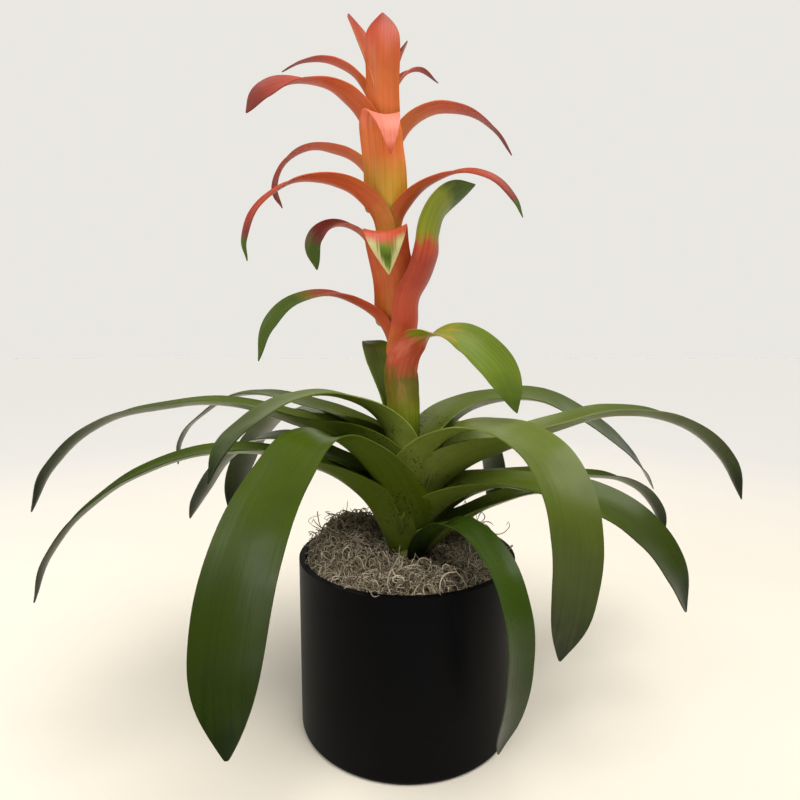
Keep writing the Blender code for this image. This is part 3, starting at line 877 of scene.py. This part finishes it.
def fibre_bundle(name, paths, radius, material):
    """Tubes along the paths, joined into one mesh."""
    data = bpy.data.curves.new(name, "CURVE")
    data.dimensions = "3D"
    data.bevel_depth = radius
    data.bevel_resolution = 0
    data.use_fill_caps = True
    for path, thickness in paths:
        spline = data.splines.new("POLY")
        spline.points.add(len(path) - 1)
        for index, (knot, place) in enumerate(zip(spline.points, path)):
            knot.co = (*place, 1.0)
            taper = min(index, len(path) - 1 - index, 2) / 2
            knot.radius = thickness * (0.45 + 0.55 * taper)
    bundle = bpy.data.objects.new(name, data)
    bpy.context.collection.objects.link(bundle)
    make_active(bundle)
    bpy.ops.object.convert(target="MESH")
    bundle = bpy.context.object
    bpy.ops.object.shade_smooth()
    bundle.data.materials.append(material)
    return bundle


def fibre_finish(settings):
    """Dry curled fibres, each of its own shade."""
    dry = Finish("moss_fibre", 0.85)
    place = dry.coordinates()
    each = dry.node("ShaderNodeNewGeometry").outputs["Random Per Island"]
    pale, dark = tuple(settings.pale_colour), tuple(settings.dark_colour)
    colour = dry.ramp(each, ((0.0, dark), (0.35, blended(dark, pale, 0.40)), (0.80, pale),
                             (1.0, (0.68, 0.61, 0.49))))
    speckle = dry.noise(place, 260.0, 3.0)
    colour = dry.mix(dry.remap(speckle, 0.35, 0.65, 0.5, 0.0), colour, (0.20, 0.14, 0.08))
    return dry.finish(colour, dry.remap(speckle, 0.3, 0.7, 0.75, 0.95),
                      dry.bump(speckle, 0.15 * MM, 0.5))


def mat_finish():
    """The dark, tangled underside of the moss, its near-black tones painted shade in the gaps
    between the fibres.
    """
    mat = Finish("moss_mat", 0.95)
    place = mat.coordinates()
    tangle = mat.noise(place, 230.0, 8.0, 0.75)
    # From near black to brown: the mat's own brown, darkened as painted shade where it shows
    # between the fibres.
    colour = mat.ramp(tangle, ((0.35, (0.012, 0.008, 0.005)), (0.52, (0.055, 0.038, 0.022)),
                               (0.70, (0.20, 0.15, 0.095))))
    return mat.finish(colour, None, mat.bump(tangle, 2.5 * MM, 1.0))


class BROMELIAD_OT_moss(bpy.types.Operator):
    """Build the mat of dry moss and the curled fibres on it"""
    bl_idname = "bromeliad.moss"
    bl_label = "Moss"

    def execute(self, context):
        settings = context.scene.bromeliad_moss
        self.build_mat()
        chance = random.Random(7)
        finish = fibre_finish(settings)
        bundles = 6
        for bundle in range(bundles):
            paths = [self.lay_fibre(chance, loose=False)
                     for _ in range(settings.fibres // bundles)]
            piece = fibre_bundle(f"moss_fibres_{bundle + 1}", paths, settings.radius, finish)
            settle(piece, f"moss_fibres_{bundle + 1}", [])
        paths = [self.lay_fibre(chance, loose=True) for _ in range(settings.loose_fibres)]
        piece = fibre_bundle("moss_loose_fibres", paths, settings.radius, finish)
        settle(piece, "moss_loose_fibres", [])
        return {"FINISHED"}

    def lay_fibre(self, chance, loose):
        """One fibre's path and its share of the fibre radius."""
        out = MOSS_RADIUS * math.sqrt(chance.uniform(0.35 if loose else 0.02, 0.99))
        angle = chance.uniform(0.0, 2.0 * math.pi)
        start = Vector((out * math.cos(angle), out * math.sin(angle), 0.0))
        start.z = LIP + moss_height(start.x, start.y) + chance.uniform(0.0, 3.5) * MM
        length = chance.uniform(18.0, 40.0) if loose else chance.uniform(22.0, 60.0)
        return fibre_path(chance, start, length * MM, loose), chance.uniform(0.6, 1.2)

    def build_mat(self):
        deselect_all()
        bpy.ops.mesh.primitive_circle_add(vertices=48, radius=MOSS_RADIUS, fill_type="NGON",
                                          location=(0.0, 0.0, MOSS_LOW.z))
        mat = bpy.context.object
        bpy.ops.object.transform_apply(location=True)
        bpy.ops.object.mode_set(mode="EDIT")
        bpy.ops.mesh.select_all(action="SELECT")
        bpy.ops.mesh.extrude_region_move(
            TRANSFORM_OT_translate={"value": (0.0, 0.0, LIP - 10.0 * MM - MOSS_LOW.z)})
        for _ in range(7):
            bpy.ops.mesh.inset(thickness=MOSS_RADIUS / 8)
        bpy.ops.mesh.select_all(action="SELECT")
        bpy.ops.mesh.normals_make_consistent(inside=False)
        bpy.ops.object.mode_set(mode="OBJECT")
        for vertex in mat.data.vertices:
            if vertex.co.z > MOSS_LOW.z + 1.0 * MM:
                rise = moss_height(vertex.co.x, vertex.co.y)
                vertex.co.z = max(LIP + rise - 1.5 * MM, MOSS_LOW.z + 2.0 * MM)
        smooth(mat, 2)
        bpy.ops.object.shade_smooth()
        mat.data.materials.append(mat_finish())
        settle(mat, "moss_mat", ["moss"])


# ------------------------------------------------------------------ stage
FLOOR_SIZE = 12.0
FLOOR_GAP = 0.2 * MM            # how far the floor stays below the pot's base
FLOOR_FADE = (0.40, 1.30)       # distances over which the floor takes the wall's tone
FAR_FLOOR_COLOUR = (0.73, 0.72, 0.71)
WALL_COLOUR = (0.82, 0.80, 0.76)
ROOM_COLOUR = (1.0, 0.98, 0.93)
ROOM_IN_FRONT = 0.20            # brightness of the room in front of the plant and behind it
ROOM_BEHIND = 0.62
SUN_TOWARD = Vector((0.30, -0.42, 1.0))
SUN_SPREAD = math.radians(55)
CAMERA_ASIDE = -5.4 * MM


def add_softbox(name, place, aim, size, power, tint):
    """A square soft light that points at a place."""
    data = bpy.data.lights.new(name, "AREA")
    data.shape = "RECTANGLE"
    data.size, data.size_y = size
    data.energy = power
    data.color = tint
    lamp = bpy.data.objects.new(name, data)
    bpy.context.collection.objects.link(lamp)
    lamp.location = place
    lamp.rotation_euler = (Vector(aim) - Vector(place)).to_track_quat("-Z", "Y").to_euler()


class BROMELIAD_OT_stage(bpy.types.Operator):
    """Set the pale floor, the soft lights and the camera"""
    bl_idname = "bromeliad.stage"
    bl_label = "Stage"

    def execute(self, context):
        settings = context.scene.bromeliad_stage
        deselect_all()
        bpy.ops.mesh.primitive_plane_add(size=FLOOR_SIZE, location=(0.0, 0.0, -FLOOR_GAP))
        floor = bpy.context.object
        floor.name = "pale_floor"
        bpy.ops.object.transform_apply(location=True)
        pale = Finish("floor_paint", 0.6)
        place = pale.coordinates()
        soft = pale.noise(place, 3.0, 3.0)
        colour = tuple(settings.floor_colour)
        shade = pale.ramp(soft, ((0.3, blended(colour, (0.7, 0.66, 0.6), 0.15)), (0.7, colour)))
        away = pale.node("ShaderNodeVectorMath", operation="LENGTH")
        pale.link(place, away.inputs[0])
        shade = pale.mix(pale.remap(away.outputs["Value"], *FLOOR_FADE), shade, FAR_FLOOR_COLOUR)
        floor.data.materials.append(pale.finish(shade))
        context.scene.world = self.soft_room()
        sun = bpy.data.lights.new("ceiling_light", "SUN")
        sun.energy = settings.light
        sun.angle = SUN_SPREAD
        sun.color = (1.0, 0.975, 0.93)
        lamp = bpy.data.objects.new("ceiling_light", sun)
        bpy.context.collection.objects.link(lamp)
        lamp.rotation_euler = SUN_TOWARD.to_track_quat("Z", "Y").to_euler()
        add_softbox("left_fill", (-1.1, -0.9, 1.1), (0.0, 0.0, 0.22), (0.5, 0.9), 7.0,
                    (1.0, 0.98, 0.95))
        data = bpy.data.cameras.new("camera")
        data.lens = settings.focal_length
        data.sensor_width = 36.0
        data.clip_start = 0.01
        camera = bpy.data.objects.new("camera", data)
        bpy.context.collection.objects.link(camera)
        camera.location = (CAMERA_ASIDE, -settings.camera_distance, settings.camera_height)
        camera.rotation_euler = (math.radians(90) - settings.camera_pitch, 0.0, 0.0)
        context.scene.camera = camera
        context.scene.view_settings.view_transform = "Standard"
        return {"FINISHED"}

    def soft_room(self):
        """A room for the light on the plant: bright toward the pale wall and dim in front."""
        world = bpy.data.worlds.new("soft_room")
        world.use_nodes = True
        nodes, links = world.node_tree.nodes, world.node_tree.links
        wall = nodes["Background"]
        wall.inputs["Color"].default_value = (*WALL_COLOUR, 1.0)
        room = nodes.new("ShaderNodeBackground")
        room.inputs["Color"].default_value = (*ROOM_COLOUR, 1.0)
        split = nodes.new("ShaderNodeSeparateXYZ")
        links.new(nodes.new("ShaderNodeTexCoord").outputs["Generated"], split.inputs["Vector"])
        depth = nodes.new("ShaderNodeMapRange")
        for name, number in (("From Min", -0.3), ("From Max", 0.7), ("To Min", ROOM_IN_FRONT),
                             ("To Max", ROOM_BEHIND)):
            depth.inputs[name].default_value = number
        links.new(split.outputs["Y"], depth.inputs["Value"])
        links.new(depth.outputs["Result"], room.inputs["Strength"])
        seen = nodes.new("ShaderNodeLightPath")
        either = nodes.new("ShaderNodeMixShader")
        links.new(seen.outputs["Is Camera Ray"], either.inputs["Fac"])
        links.new(room.outputs["Background"], either.inputs[1])
        links.new(wall.outputs["Background"], either.inputs[2])
        links.new(either.outputs["Shader"], nodes["World Output"].inputs["Surface"])
        return world


# ------------------------------------------------------------------ add-on
STEPS = (
    BROMELIAD_OT_pot, BROMELIAD_OT_hidden_fill, BROMELIAD_OT_moss, BROMELIAD_OT_stalk,
    BROMELIAD_OT_leaves, BROMELIAD_OT_bracts, BROMELIAD_OT_stage,
)
SETTINGS = {
    "bromeliad_leaves": BromeliadLeafSettings,
    "bromeliad_bracts": BromeliadBractSettings,
    "bromeliad_moss": BromeliadMossSettings,
    "bromeliad_pot": BromeliadPotSettings,
    "bromeliad_stage": BromeliadStageSettings,
}


class BROMELIAD_PT_panel(bpy.types.Panel):
    """The bromeliad's pieces and their sizes and colours"""
    bl_idname = "BROMELIAD_PT_panel"
    bl_label = "Potted bromeliad"
    bl_space_type = "VIEW_3D"
    bl_region_type = "UI"
    bl_category = "Bromeliad"

    def draw(self, context):
        for step in STEPS:
            self.layout.operator(step.bl_idname, text=step.bl_label)
        for name, group in SETTINGS.items():
            box = self.layout.box()
            values = getattr(context.scene, name)
            for field in group.__annotations__:
                box.prop(values, field)


def register():
    for name, group in SETTINGS.items():
        bpy.utils.register_class(group)
        setattr(bpy.types.Scene, name, bpy.props.PointerProperty(type=group))
    for step in STEPS:
        bpy.utils.register_class(step)
    bpy.utils.register_class(BROMELIAD_PT_panel)


def unregister():
    bpy.utils.unregister_class(BROMELIAD_PT_panel)
    for step in reversed(STEPS):
        bpy.utils.unregister_class(step)
    for name, group in SETTINGS.items():
        delattr(bpy.types.Scene, name)
        bpy.utils.unregister_class(group)


def main():
    register()
    bpy.ops.bromeliad.pot()
    bpy.ops.bromeliad.hidden_fill()
    bpy.ops.bromeliad.moss()
    bpy.ops.bromeliad.stalk()
    bpy.ops.bromeliad.leaves()
    bpy.ops.bromeliad.bracts()
    bpy.ops.bromeliad.stage()


if __name__ == "__main__":
    main()
